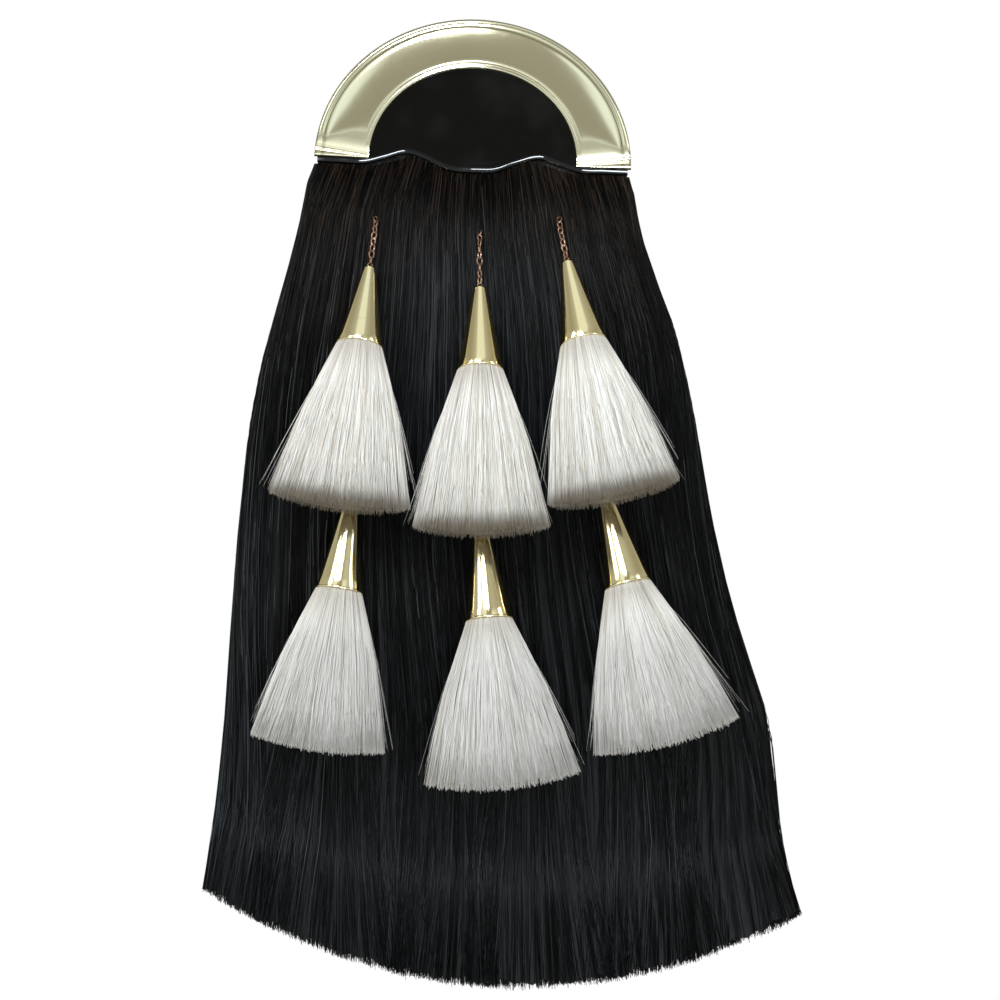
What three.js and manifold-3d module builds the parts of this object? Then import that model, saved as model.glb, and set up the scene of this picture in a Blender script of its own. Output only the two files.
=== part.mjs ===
// A pipe-band hair sporran: a flat leather pouch behind a skirt of long black horsehair, a brass cantle
// over a patent-leather panel, and six white horsehair tassels in brass cones on fine chains.
// Millimetres, +Z up, front towards -Y. The origin is on the line that the waist strap takes through
// the two loops on the back. Heights below are measured from the foot line of the cantle.
import * as THREE from "three";
import { mergeVertices } from "three/addons/utils/BufferGeometryUtils.js";
import Module from "manifold-3d";

const wasm = await Module();
wasm.setup();

// ---- Driving dimensions ----

const GAP = 0.3; // left between pieces that are stitched, riveted or pinned together
const STRAP_LINE = 24; // height of the waist strap above the foot line
const STRAP_GAP = 6; // clear depth of a strap loop, centred on y = 0

const ARCH = { outer: [79.5, 72], inner: [52, 47.2] }; // half width and height of the cantle's arcs
const LEATHER = 2.5; // boards of the pouch
const GUSSET = 2; // wall that joins the two boards
const POUCH_DEPTH = 20; // inside, front to back
const POUCH_INSET = 1.5; // edge of the boards behind the edge of the cantle
const POUCH_SIDE = { half: 74, height: -50 }; // where the sides turn into the round bottom
const POUCH_BOTTOM = 62; // depth of the round bottom
const MOUTH = { half: 55, bottom: -24, top: -10 }; // hand opening in the back board
const LOOP = { x: 46, width: 16, clear: 30, foot: 8, ramp: 4 }; // strap loops
const PANEL = 3; // patent leather over its stiff backing
const SHEET = 1.4; // brass of the cantle
const CONE = { top: 3.2, base: 12, wall: 1, crown: 1.6 }; // radii and walls of a tassel's cone
const CHAIN_RADIUS = 1.1;

const BACK = -STRAP_GAP / 2; // outer face of the back board
const FRONT_BOARD = BACK - LEATHER - POUCH_DEPTH; // inner face of the front board
const PANEL_BACK = FRONT_BOARD - LEATHER - GAP;
const CANTLE_BACK = PANEL_BACK - PANEL - GAP;

// Rows of values under named columns.
function table(columns, ...rows) {
  return rows.map((row) => Object.fromEntries(columns.map((column, i) => [column, row[i]])));
}

// Lower edge of the panel: distance from the middle, height. The wave is the same on both sides.
const WAVE = table(
  ["x", "z"],
  [0, -5.2],
  [11, -4.5],
  [22, -0.2],
  [33, 3],
  [44, 0],
  [54, -2.8],
  [66, -2.8],
  [78, -2.8],
);

// Crown of the cantle's sheet: distance in from its edge, height of the face over the panel.
const CROWN = table(
  ["edge", "height"],
  [0, 4.6],
  [1.8, 6.4],
  [4, 5.4],
  [8, 7],
  [14, 8.2],
);

// The hair skirt, top to bottom: height at its middle, left and right edge, front and back face,
// how much higher its edges end than its middle, and how square its section is (2 is an ellipse).
const SKIRT = table(
  ["z", "left", "right", "front", "back", "lift", "square"],
  [3.4, -76, 76, -30, -26, 0, 8],
  [-9, -82, 81.5, -33, -5, 0, 8],
  [-24, -84, 84, -38, -5, 0, 7],
  [-50, -89, 92.5, -43, -5, 0, 6],
  [-75, -95, 104, -47, -5, 0, 5],
  [-102, -101, 112, -51, -6, 1, 4],
  [-127, -105, 118, -54, -8, 2, 3.4],
  [-178, -109, 128, -59, -12, 3, 2.9],
  [-230, -111, 143, -62, -15, 5, 2.6],
  [-285, -112, 161, -61, -17, 12, 2.5],
  [-348, -115, 169, -57, -18, 23, 2.5],
  [-411, -120, 182, -51, -19, 42, 2.5],
);

// Tassels. x, z: top of the cone. lean: angle to the right. coneTilt, hairTilt: angles out from the
// skirt. cone, hair: lengths. spread: width of the hair's end. exit, anchor: heights where the chain
// leaves the skirt's face and where it is fixed to the front board.
const TASSELS = table(
  ["name", "x", "z", "lean", "coneTilt", "hairTilt", "cone", "hair", "spread", "exit", "anchor"],
  ["upper_left", -49, -54.7, -4.8, 20, 16, 43, 83, 70, -32, -24],
  ["upper_middle", 6.4, -62.3, 2.9, 20, 16, 45, 83, 68, -38, -29],
  ["upper_right", 49.3, -47.4, 13.8, 20, 18, 45, 82, 66, -28, -20],
  ["lower_left", -52.3, -167.9, -5.5, 9, 3, 50, 79, 67, -130, -70],
  ["lower_middle", 11.9, -179.2, 7.5, 9, 3, 50, 83, 78, -141, -76],
  ["lower_right", 72.3, -160.6, 16.8, 9, 3, 50, 81, 74, -123, -66],
);
const CONE_REST = { upper: 5.5, lower: 8.5 }; // from the skirt's face to the middle of a cone's top

const BRASS = new THREE.MeshStandardMaterial({ color: 0xd2c593, roughness: 0.18, metalness: 1 });
const PATENT = new THREE.MeshStandardMaterial({ color: 0x0b0b0d, roughness: 0.08, metalness: 0 });
const HIDE = new THREE.MeshStandardMaterial({ color: 0x1b1917, roughness: 0.6, metalness: 0 });
const BLACK_HAIR = new THREE.MeshStandardMaterial({ color: 0x0f0f11, roughness: 0.45, metalness: 0 });
const WHITE_HAIR = new THREE.MeshStandardMaterial({ color: 0xe9e5db, roughness: 0.6, metalness: 0 });
const LINKS = new THREE.MeshStandardMaterial({ color: 0x5a4032, roughness: 0.4, metalness: 1 });

const sporran = new THREE.Group();
sporran.position.z = -STRAP_LINE;

function add(name, geometry, material) {
  const mesh = new THREE.Mesh(geometry, material);
  mesh.name = name;
  sporran.add(mesh);
  return mesh;
}

// ---- Shapes that several pieces share ----

// A closed body through sections, each a ring of the same number of points, with its ends closed.
function loft(sections) {
  const count = sections[0].length;
  const points = sections.flat();
  const faces = [];
  for (let s = 0; s + 1 < sections.length; s++) {
    for (let i = 0; i < count; i++) {
      const a = s * count + i;
      const b = s * count + ((i + 1) % count);
      faces.push(a, b, b + count, a, b + count, a + count);
    }
  }
  for (const [first, turned] of [[0, true], [points.length - count, false]]) {
    const middle = new THREE.Vector3();
    for (let i = 0; i < count; i++) middle.addScaledVector(points[first + i], 1 / count);
    points.push(middle);
    for (let i = 0; i < count; i++) {
      const a = first + i;
      const b = first + ((i + 1) % count);
      faces.push(...(turned ? [b, a] : [a, b]), points.length - 1);
    }
  }
  const volume = (f) => points[faces[f]].dot(points[faces[f + 1]].clone().cross(points[faces[f + 2]]));
  let total = 0;
  for (let f = 0; f < faces.length; f += 3) total += volume(f);
  if (total < 0) faces.reverse();
  return new THREE.BufferGeometry().setFromPoints(points).setIndex(faces);
}

// A flat piece: an outline in x and height, from the depth y = back towards the front.
function plate(shape, back, thickness) {
  const settings = { depth: thickness, bevelEnabled: false, curveSegments: 24 };
  return new THREE.ExtrudeGeometry(shape, settings).rotateX(Math.PI / 2).translate(0, back, 0);
}

function solid(geometry) {
  const bare = geometry.clone().deleteAttribute("normal").deleteAttribute("uv");
  const merged = mergeVertices(bare, 1e-4);
  const vertProperties = new Float32Array(merged.attributes.position.array);
  const triVerts = new Uint32Array(merged.index.array);
  return new wasm.Manifold(new wasm.Mesh({ numProp: 3, vertProperties, triVerts }));
}

// The largest body of a solid, as a geometry.
function bodyOf(cut) {
  const bodies = cut.decompose().sort((a, b) => b.volume() - a.volume());
  const mesh = bodies[0].getMesh();
  const geometry = new THREE.BufferGeometry();
  geometry.setAttribute("position", new THREE.BufferAttribute(mesh.vertProperties, 3));
  return geometry.setIndex(new THREE.BufferAttribute(mesh.triVerts, 1));
}

// ---- Pouch: two boards and the gusset between them, arched above and round below ----

function pouchOutline(inset, kind = THREE.Shape) {
  const half = ARCH.outer[0] - POUCH_INSET - inset;
  const top = ARCH.outer[1] - POUCH_INSET - inset;
  const side = POUCH_SIDE.half - inset;
  const outline = new kind();
  outline.moveTo(half, 0);
  outline.absellipse(0, 0, half, top, 0, Math.PI, false);
  outline.lineTo(-side, POUCH_SIDE.height);
  outline.absellipse(0, POUCH_SIDE.height, side, POUCH_BOTTOM - inset, Math.PI, 2 * Math.PI, false);
  outline.closePath();
  return outline;
}

function rectangle(left, right, bottom, top) {
  const path = new THREE.Path();
  path.moveTo(left, bottom).lineTo(right, bottom).lineTo(right, top).lineTo(left, top).closePath();
  return path;
}

const backBoard = pouchOutline(0);
backBoard.holes.push(rectangle(-MOUTH.half, MOUTH.half, MOUTH.bottom, MOUTH.top));
add("pouch_back", plate(backBoard, BACK, LEATHER), HIDE);
add("pouch_front", plate(pouchOutline(0), FRONT_BOARD, LEATHER), HIDE);

const ring = pouchOutline(1);
ring.holes.push(pouchOutline(1 + GUSSET, THREE.Path));
add("pouch_gusset", plate(ring, BACK - LEATHER - GAP, POUCH_DEPTH - 2 * GAP), HIDE);

// ---- Strap loops: a strip bent off the back board and stitched down at both ends ----

function loopProfile() {
  const low = BACK + GAP;
  const inner = STRAP_GAP / 2;
  const clear = LOOP.clear / 2;
  const end = clear + LOOP.ramp + LOOP.foot;
  const half = [
    [inner, clear],
    [low, clear + LOOP.ramp],
    [low, end],
    [low + LEATHER, end],
    [low + LEATHER, clear + LOOP.ramp + 1],
    [inner + LEATHER, clear + 1],
  ];
  const shape = new THREE.Shape();
  shape.moveTo(half[0][0], -half[0][1]);
  for (const [y, z] of half) shape.lineTo(y, z);
  for (const [y, z] of half.slice(1).reverse()) shape.lineTo(y, -z);
  return shape;
}

for (const [name, side] of [["strap_loop_left", -1], ["strap_loop_right", 1]]) {
  const strip = new THREE.ExtrudeGeometry(loopProfile(), { depth: LOOP.width, bevelEnabled: false });
  // The profile is drawn in depth and height, so the strip is turned until its width lies along X.
  strip.translate(0, 0, -LOOP.width / 2).rotateY(Math.PI / 2).rotateX(Math.PI / 2);
  add(name, strip, HIDE).position.set(side * LOOP.x, 0, STRAP_LINE);
}

// ---- Patent panel: fills the arch and ends in a wave over the roots of the hair ----

function panelOutline() {
  const half = ARCH.outer[0] - POUCH_INSET;
  const wave = [...WAVE.slice(1).reverse().map((p) => [-p.x, p.z]), ...WAVE.map((p) => [p.x, p.z])];
  const edge = new THREE.SplineCurve(wave.map(([x, z]) => new THREE.Vector2(x, z)));
  const outline = new THREE.Shape(edge.getPoints(44));
  outline.lineTo(half, 0);
  outline.absellipse(0, 0, half, ARCH.outer[1] - POUCH_INSET, 0, Math.PI, false);
  outline.closePath();
  return outline;
}
add("front_panel", plate(panelOutline(), PANEL_BACK, PANEL), PATENT);

// ---- Cantle: a half ring pressed from brass sheet, crowned, with a beaded edge, open behind ----

const CANTLE_STEPS = 30;
const FOOT_STEPS = [0.9, 2, 4, 7]; // heights of the sections near the end of a foot

function crownHeight(edge) {
  const i = CROWN.findIndex((row) => row.edge > edge);
  if (i < 0) return CROWN[CROWN.length - 1].height;
  const [a, b] = [CROWN[i - 1], CROWN[i]];
  return THREE.MathUtils.mapLinear(edge, a.edge, b.edge, a.height, b.height);
}

// A section of the band from its outer edge to its inner one, crowned between them and at the feet.
function cantleSection(angle, inset, drop, back) {
  const [cos, sin] = [Math.cos(angle), Math.sin(angle)];
  const outer = new THREE.Vector2((ARCH.outer[0] - inset) * cos, (ARCH.outer[1] - inset) * sin);
  const inner = new THREE.Vector2((ARCH.inner[0] + inset) * cos, (ARCH.inner[1] + inset) * sin);
  if (sin * ARCH.inner[1] < inset) inner.y = outer.y;
  const band = outer.distanceTo(inner);
  const edges = CROWN.map((row) => Math.min(row.edge, band / 2));
  const across = [...edges, ...edges.slice(0, -1).reverse().map((edge) => band - edge)];
  const face = across.map((distance) => {
    const p = outer.clone().lerp(inner, distance / band);
    const height = Math.min(crownHeight(Math.min(distance, band - distance)), crownHeight(p.y));
    return new THREE.Vector3(p.x, CANTLE_BACK - height + drop, p.y);
  });
  return [new THREE.Vector3(outer.x, back, outer.y), ...face, new THREE.Vector3(inner.x, back, inner.y)];
}

function cantleBody(inset, drop, back) {
  const heights = [inset, ...FOOT_STEPS.filter((step) => step > inset)];
  const feet = heights.map((height) => Math.asin(height / ARCH.outer[1]));
  const first = feet[feet.length - 1];
  const step = (Math.PI - 2 * first) / CANTLE_STEPS;
  const arch = Array.from({ length: CANTLE_STEPS - 1 }, (_, i) => first + step * (i + 1));
  const angles = [...feet, ...arch, ...feet.map((angle) => Math.PI - angle).reverse()];
  return loft(angles.map((angle) => cantleSection(angle, inset, drop, back)));
}

const hollow = solid(cantleBody(SHEET, SHEET, CANTLE_BACK + 1));
add("cantle", bodyOf(solid(cantleBody(0, 0, CANTLE_BACK)).subtract(hollow)), BRASS);

// ---- Tassels: a spun cone, the hair bound into it, and the chain that it hangs on ----

const AROUND = 24; // facets around a cone and its brush

// Front face of the skirt over the point (x, z).
function skirtFront(x, z) {
  const i = Math.max(SKIRT.findIndex((row) => row.z < z), 1);
  const [a, b] = [SKIRT[i - 1], SKIRT[i]];
  const mix = (key) => THREE.MathUtils.mapLinear(z, a.z, b.z, a[key], b[key]);
  const half = (mix("right") - mix("left")) / 2;
  const off = Math.abs(x - (mix("right") + mix("left")) / 2) / half;
  const round = (1 - off ** mix("square")) ** (1 / mix("square"));
  return (mix("front") + mix("back")) / 2 + (round * (mix("front") - mix("back"))) / 2;
}

// Direction of something that hangs at a lean to the right and a tilt out from the skirt, in degrees.
function hang(lean, tilt) {
  const [a, b] = [lean, tilt].map(THREE.MathUtils.degToRad);
  return new THREE.Vector3(Math.sin(a) * Math.cos(b), -Math.sin(b), -Math.cos(a) * Math.cos(b));
}

function coneShell(length) {
  const profile = [
    [0, 0],
    [CONE.top, 0],
    [CONE.base, -length],
    [CONE.base - CONE.wall, -length],
    [CONE.top - CONE.wall / 2, -CONE.crown],
    [0, -CONE.crown],
  ];
  const points = profile.reverse().map(([r, height]) => new THREE.Vector2(r, height));
  return new THREE.LatheGeometry(points, AROUND).rotateX(Math.PI / 2);
}

// Hair of a tassel: a neck inside the cone, then a round brush that spreads flat and wide.
function brush(base, tassel) {
  const neck = CONE.base - CONE.wall - GAP - 0.1;
  const rows = [
    { along: -12, half: neck - 2.6, deep: neck - 2.6 },
    { along: 0, half: neck, deep: neck },
    { along: 0.06, half: CONE.base + 2.2, deep: CONE.base + 0.6 },
    { along: 0.25, half: CONE.base + 8, deep: CONE.base + 1.4 },
    { along: 0.55, half: CONE.base + 14.8, deep: CONE.base + 1.4 },
    { along: 1, half: tassel.spread / 2, deep: CONE.base + 1 },
  ];
  const aside = hang(tassel.lean + 90, 0);
  return loft(rows.map((row) => {
    const inside = row.along <= 0;
    const way = hang(tassel.lean, inside ? tassel.coneTilt : tassel.hairTilt);
    const out = way.clone().cross(aside);
    const middle = base.clone().addScaledVector(way, inside ? row.along : row.along * tassel.hair);
    return Array.from({ length: AROUND }, (_, i) => {
      const turn = (i / AROUND) * 2 * Math.PI;
      const across = aside.clone().multiplyScalar(row.half * Math.cos(turn));
      return across.add(middle).addScaledVector(out, row.deep * Math.sin(turn));
    });
  }));
}

function chainTube(points, radius, steps) {
  const section = new THREE.Shape();
  section.absarc(0, 0, radius, 0, 2 * Math.PI, false);
  const extrudePath = new THREE.CatmullRomCurve3(points);
  return new THREE.ExtrudeGeometry(section, { extrudePath, steps, curveSegments: 4, bevelEnabled: false });
}

const channels = [];
for (const tassel of TASSELS) {
  const rest = CONE_REST[tassel.name.split("_")[0]];
  const top = new THREE.Vector3(tassel.x, skirtFront(tassel.x, tassel.z) - rest, tassel.z);
  const way = hang(tassel.lean, tassel.coneTilt);
  const base = top.clone().addScaledVector(way, tassel.cone);

  const cone = add("cone_" + tassel.name, coneShell(tassel.cone), BRASS);
  cone.position.copy(top);
  cone.rotation.set(...[-tassel.coneTilt, -tassel.lean, 0].map(THREE.MathUtils.degToRad), "YXZ");
  add("brush_" + tassel.name, brush(base, tassel), WHITE_HAIR);

  // From the front board through the hair, out at its face and down to the cone.
  const exitX = tassel.x - Math.tan(THREE.MathUtils.degToRad(tassel.lean)) * (tassel.exit - tassel.z);
  const face = skirtFront(exitX, tassel.exit) - CHAIN_RADIUS - GAP;
  const start = FRONT_BOARD - LEATHER - 3 * GAP;
  const end = top.clone().addScaledVector(way, -GAP);
  const route = [
    new THREE.Vector3(exitX, start, tassel.anchor),
    new THREE.Vector3(exitX, start - 3, tassel.anchor - 1.5),
    new THREE.Vector3(exitX, face, tassel.exit),
    new THREE.Vector3(exitX, face, tassel.exit).lerp(end, 0.5),
    end,
  ];
  const steps = Math.ceil(new THREE.CatmullRomCurve3(route).getLength() / (6 * CHAIN_RADIUS));
  add("chain_" + tassel.name, chainTube(route, CHAIN_RADIUS, steps), LINKS);
  channels.push(solid(chainTube(route, CHAIN_RADIUS + 2 * GAP, steps)));
}

// ---- Hair skirt: the outer form of the black hair, hollow where the pouch sits behind it ----

const SKIRT_POINTS = 40;
const skirtRings = SKIRT.map((row) => Array.from({ length: SKIRT_POINTS }, (_, i) => {
  const turn = (i / SKIRT_POINTS) * 2 * Math.PI;
  const round = (v) => Math.sign(v) * Math.abs(v) ** (2 / row.square);
  const across = round(Math.cos(turn));
  const deep = round(Math.sin(turn));
  return new THREE.Vector3(
    (row.left + row.right) / 2 + (across * (row.right - row.left)) / 2,
    (row.front + row.back) / 2 + (deep * (row.back - row.front)) / 2,
    row.z + row.lift * across * across,
  );
}));
const pouchRoom = solid(plate(pouchOutline(-GAP), 0, LEATHER + GAP - FRONT_BOARD));
const panelRoom = solid(plate(panelOutline(), PANEL_BACK + GAP, PANEL + 2 * GAP).translate(0, 0, -GAP));
let skirt = solid(loft(skirtRings)).subtract(pouchRoom).subtract(panelRoom);
for (const channel of channels) skirt = skirt.subtract(channel);
add("hair_skirt", bodyOf(skirt), BLACK_HAIR);

export default sporran;
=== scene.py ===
"""Finishes and fine detail of a pipe-band hair sporran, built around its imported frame.

Metres, +Z up, front towards -Y. The shapes below are worked out in millimetres, with heights from
the foot line of the cantle, and are placed in the frame when they become meshes.
"""
import math

import bpy
import numpy as np
from mathutils import Matrix, Vector


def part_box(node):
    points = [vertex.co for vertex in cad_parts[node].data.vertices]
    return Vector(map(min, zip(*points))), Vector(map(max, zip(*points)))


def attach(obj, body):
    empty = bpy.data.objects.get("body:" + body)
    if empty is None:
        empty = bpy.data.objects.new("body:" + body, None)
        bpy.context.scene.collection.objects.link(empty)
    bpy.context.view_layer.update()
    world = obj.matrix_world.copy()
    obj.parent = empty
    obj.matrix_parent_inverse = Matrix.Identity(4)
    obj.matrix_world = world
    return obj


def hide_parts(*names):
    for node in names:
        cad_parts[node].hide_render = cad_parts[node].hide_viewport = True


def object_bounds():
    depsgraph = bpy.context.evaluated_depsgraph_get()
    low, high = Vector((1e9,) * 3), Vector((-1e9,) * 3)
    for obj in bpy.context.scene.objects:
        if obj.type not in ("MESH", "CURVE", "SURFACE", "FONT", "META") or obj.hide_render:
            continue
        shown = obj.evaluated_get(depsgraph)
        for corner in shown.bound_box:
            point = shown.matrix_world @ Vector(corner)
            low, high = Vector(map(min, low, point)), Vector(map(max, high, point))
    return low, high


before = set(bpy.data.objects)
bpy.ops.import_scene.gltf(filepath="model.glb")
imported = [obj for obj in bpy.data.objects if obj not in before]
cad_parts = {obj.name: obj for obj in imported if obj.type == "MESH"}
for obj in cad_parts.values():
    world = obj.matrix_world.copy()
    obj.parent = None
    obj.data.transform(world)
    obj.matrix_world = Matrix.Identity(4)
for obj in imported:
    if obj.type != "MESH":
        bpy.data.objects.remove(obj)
cad_low, cad_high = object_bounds()


# ---- Studio ----
# The sporran hangs in front of a white ground, square to the camera, over a pale floor. Soft boxes
# light the hair from above and from both sides, and a low one draws the patent edge. The room is
# bright below, above and at both sides, and dim at the far sides and straight behind the camera.

CAMERA = {
    "lens": 400, "sensor": 36, "distance": 5.556, "roll": 2.5, "aside": -0.0099, "raise": 0.0013,
}
FRONT_PLANE = -0.05  # depth of the plane that the view is set out on
FLOOR = {"below": 0.9, "radius": 5.0, "corners": 96}


class Wire:
    """The output of a shader node. Arithmetic on it adds Math nodes, with numbers on either side."""

    def __init__(self, graph, socket):
        self.graph = graph
        self.socket = socket

    def math(self, operation, *others):
        values = dict(enumerate((self, *others)))
        return self.graph.add("ShaderNodeMath", {"operation": operation}, values)

    def __add__(self, other):
        return self.math("ADD", other)

    def __sub__(self, other):
        return self.math("SUBTRACT", other)

    def __rsub__(self, other):
        return self.graph.add("ShaderNodeMath", {"operation": "SUBTRACT"}, {0: other, 1: self})

    def __mul__(self, other):
        return self.math("MULTIPLY", other)

    __radd__ = __add__
    __rmul__ = __mul__


class Graph:
    """The nodes of the world or of one finish."""

    def __init__(self, tree):
        self.tree = tree

    def feed(self, socket, value):
        """Joins a wire to a socket, or sets the number or colour that it holds."""
        if isinstance(value, Wire):
            self.tree.links.new(value.socket, socket)
        elif socket.type == "RGBA":
            socket.default_value = (*value, 1)
        else:
            socket.default_value = value

    def add(self, kind, settings=None, values=None, output=0):
        """One node: its settings first, then the value or wire of each socket. Gives its output."""
        node = self.tree.nodes.new(kind)
        for key, value in (settings or {}).items():
            if key == "stops":
                self.set_stops(node.color_ramp.elements, value)
            else:
                setattr(node, key, value)
        for key, value in (values or {}).items():
            self.feed(node.inputs[key], value)
        return Wire(self, node.outputs[output])

    def set_stops(self, elements, stops):
        """Fills a ramp: its two first stops are moved, and the others are added."""
        for i, (place, colour) in enumerate(stops):
            stop = elements[i] if i < 2 else elements.new(place)
            stop.position = place
            stop.color = (*colour, 1)

    def part(self, vector, axis):
        """One of the three numbers of a vector."""
        return self.add("ShaderNodeSeparateXYZ", None, {"Vector": vector}, axis)

    def mix(self, factor, first, second):
        """A colour between two colours."""
        settings = {"data_type": "RGBA", "clamp_factor": True}
        return self.add("ShaderNodeMix", settings, {0: factor, 6: first, 7: second}, 2)

    def spread(self, value, low, high, first=0.0, last=1.0):
        """A value carried smoothly from the range low..high to first..last, and held outside it."""
        settings = {"interpolation_type": "SMOOTHSTEP", "clamp": True}
        return self.add("ShaderNodeMapRange", settings, {0: value, 1: low, 2: high, 3: first, 4: last})


def light_studio():
    """The room's light: pale where it is lit, dim and warm elsewhere. The camera sees white."""
    world = bpy.data.worlds.new("studio")
    bpy.context.scene.world = world
    world.use_nodes = True
    graph = Graph(world.node_tree)
    way = graph.add("ShaderNodeTexCoord")
    aside = graph.part(way, 0).math("ABSOLUTE")
    ahead = graph.part(way, 1)
    up = graph.part(way, 2)
    below = graph.spread(up, -0.14, -0.22)
    above = graph.spread(up, 0.60, 0.80) * graph.spread(aside, 0.24, 0.42, 1.0, 0.3)
    above = above * graph.spread(ahead, 0.05, 0.35, 1.0, 0.0)
    lit = graph.spread(aside, 0.18, 0.26) * graph.spread(up, 0.40, 0.60, 1.0, 0.3)
    lit = lit.math("MAXIMUM", below).math("MAXIMUM", above)
    lit = lit * graph.spread(aside, 0.42, 0.78, 1.0, 0.22)
    room = graph.mix(lit, (0.33, 0.315, 0.265), (0.92, 0.99, 1.0))
    seen = graph.add("ShaderNodeLightPath")
    background = world.node_tree.nodes["Background"]
    graph.feed(background.inputs["Color"], graph.mix(seen, room, (1.0, 1.0, 1.0)))


def soft_box(name, place, aim, width, height, power, colour):
    """A rectangular area light that faces its aim."""
    light = bpy.data.lights.new(name, "AREA")
    light.shape = "RECTANGLE"
    light.size = width
    light.size_y = height
    light.energy = power
    light.color = colour
    box = bpy.data.objects.new(name, light)
    box.location = place
    box.rotation_euler = (Vector(aim) - Vector(place)).to_track_quat("-Z", "Y").to_euler()
    box.visible_camera = False
    bpy.context.scene.collection.objects.link(box)
    return box


def aim_camera():
    """The camera looks along +Y at the middle of the object, with a slight roll. Gives its place."""
    data = bpy.data.cameras.new("camera")
    data.lens = CAMERA["lens"]
    data.sensor_width = CAMERA["sensor"]
    camera = bpy.data.objects.new("camera", data)
    bpy.context.scene.collection.objects.link(camera)
    bpy.context.scene.camera = camera
    roll = math.radians(CAMERA["roll"])
    right = Vector((math.cos(roll), 0, math.sin(roll)))
    up = Vector((-math.sin(roll), 0, math.cos(roll)))
    place = (cad_low + cad_high) / 2 + Vector((CAMERA["aside"], 0, CAMERA["raise"]))
    place.y = FRONT_PLANE - CAMERA["distance"]
    turned = Matrix((right, up, right.cross(up))).transposed().to_4x4()
    camera.matrix_world = Matrix.Translation(place) @ turned
    return place


def lay_floor(height):
    """A pale round floor."""
    turn = np.linspace(0, 2 * np.pi, FLOOR["corners"], endpoint=False)
    rim = np.stack([np.cos(turn), np.sin(turn), 0 * turn], 1) * FLOOR["radius"]
    mesh = bpy.data.meshes.new("floor")
    mesh.from_pydata(rim.tolist(), [], [list(range(FLOOR["corners"]))])
    floor = bpy.data.objects.new("floor", mesh)
    floor.location.z = height
    bpy.context.scene.collection.objects.link(floor)
    paint = bpy.data.materials.new("floor_paint")
    paint.use_nodes = True
    graph = Graph(paint.node_tree)
    grain = graph.add("ShaderNodeTexNoise", None, {"Scale": 3.0, "Detail": 2.0})
    shader = paint.node_tree.nodes["Principled BSDF"]
    graph.feed(shader.inputs["Base Color"], graph.mix(grain, (0.80, 0.80, 0.79), (0.86, 0.86, 0.85)))
    shader.inputs["Roughness"].default_value = 0.7
    mesh.materials.append(paint)


light_studio()
eye = aim_camera()
lay_floor(eye.z - FLOOR["below"])
middle = tuple((cad_low + cad_high) / 2)
soft_box("soft_box_above", (-0.45, -1.6, 1.05), middle, 0.9, 0.5, 25, (0.94, 0.97, 1.0))
soft_box("soft_box_left", (-1.5, -1.2, 0.6), middle, 0.5, 1.0, 12, (1.0, 0.99, 0.96))
soft_box("soft_box_right", (1.6, -0.9, 0.3), middle, 0.5, 1.0, 8, (0.95, 0.98, 1.0))
edge_aim = (middle[0], -0.03, -0.03)
glint = soft_box("soft_box_below", (0.25, -1.3, -1.05), edge_aim, 0.6, 0.2, 30, (0.86, 0.94, 1.0))
glint.visible_diffuse = False
bpy.context.scene.view_settings.view_transform = "Standard"


# ---- Pouch ----
# Two boards of 2.5 mm black hide, arched above and round below, sewn through a hide wall. The back
# board has the hand opening, with a row of stitches round it and round the rim of the board.

MM = 0.001
FOOT_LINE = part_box("cantle")[0].z / MM  # heights below are millimetres over the cantle's feet
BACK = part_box("pouch_back")[1].y / MM  # outer face of the back board
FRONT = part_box("pouch_front")[0].y / MM  # outer face of the front board
HIDE = 2.5
BOARD = {"half": 78, "top": 70.5, "side": 74, "shoulder": -50, "bottom": 62}
MOUTH = {"half": 55, "low": -24, "high": -10, "corner": 4}
STITCH = {"pitch": 3.8, "long": 2.7, "radius": 0.34, "proud": 0.3, "inset": 4.0}


class Finish(Graph):
    """A surface finish. Plain values sit on its shader's sockets, and wires join what varies."""

    def __init__(self, name, **plain):
        self.material = bpy.data.materials.new(name)
        self.material.use_nodes = True
        super().__init__(self.material.node_tree)
        self.shader = self.tree.nodes["Principled BSDF"]
        for key, value in plain.items():
            self.set(key.replace("_", " ").title().replace("Ior", "IOR"), value)

    def set(self, socket, value):
        self.feed(self.shader.inputs[socket], value)

    def places(self, scale=(1, 1, 1)):
        """Object coordinates, stretched along each axis."""
        here = self.add("ShaderNodeTexCoord", None, None, "Object")
        return self.add("ShaderNodeMapping", None, {"Vector": here, "Scale": scale})

    def noise(self, where, scale, detail=2.0, roughness=0.5):
        values = {"Vector": where, "Scale": scale, "Detail": detail, "Roughness": roughness}
        return self.add("ShaderNodeTexNoise", None, values)

    def bump(self, height, depth):
        """Relief of the given depth in metres where height goes from 0 to 1."""
        self.set("Normal", self.add("ShaderNodeBump", None, {"Height": height, "Distance": depth}))


def table(columns, *rows):
    """Columns of numbers by name."""
    return dict(zip(columns, np.array(rows, dtype=float).T))


def grid_faces(rows, columns, ring=False, tube=False):
    """Quads of a grid of points numbered row by row. In a ring each row closes on itself, and in a
    tube the last row meets the first."""
    i = np.arange(rows if tube else rows - 1)[:, None]
    j = np.arange(columns if ring else columns - 1)[None, :]
    below = (i + 1) % rows
    after = (j + 1) % columns
    corners = [i * columns + j, i * columns + after, below * columns + after, below * columns + j]
    return np.stack(np.broadcast_arrays(*corners), -1).reshape(-1, 4)


def turned_out(skin, points):
    """The face arrays of a closed skin, all turned over if the volume inside them is negative."""
    volume = sum(
        np.einsum("ij,ij->", points[g[:, 0]], np.cross(points[g[:, k]], points[g[:, k + 1]]))
        for g in skin
        for k in range(1, g.shape[1] - 1)
    )
    return [group[:, ::-1] for group in skin] if volume < 0 else skin


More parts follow.
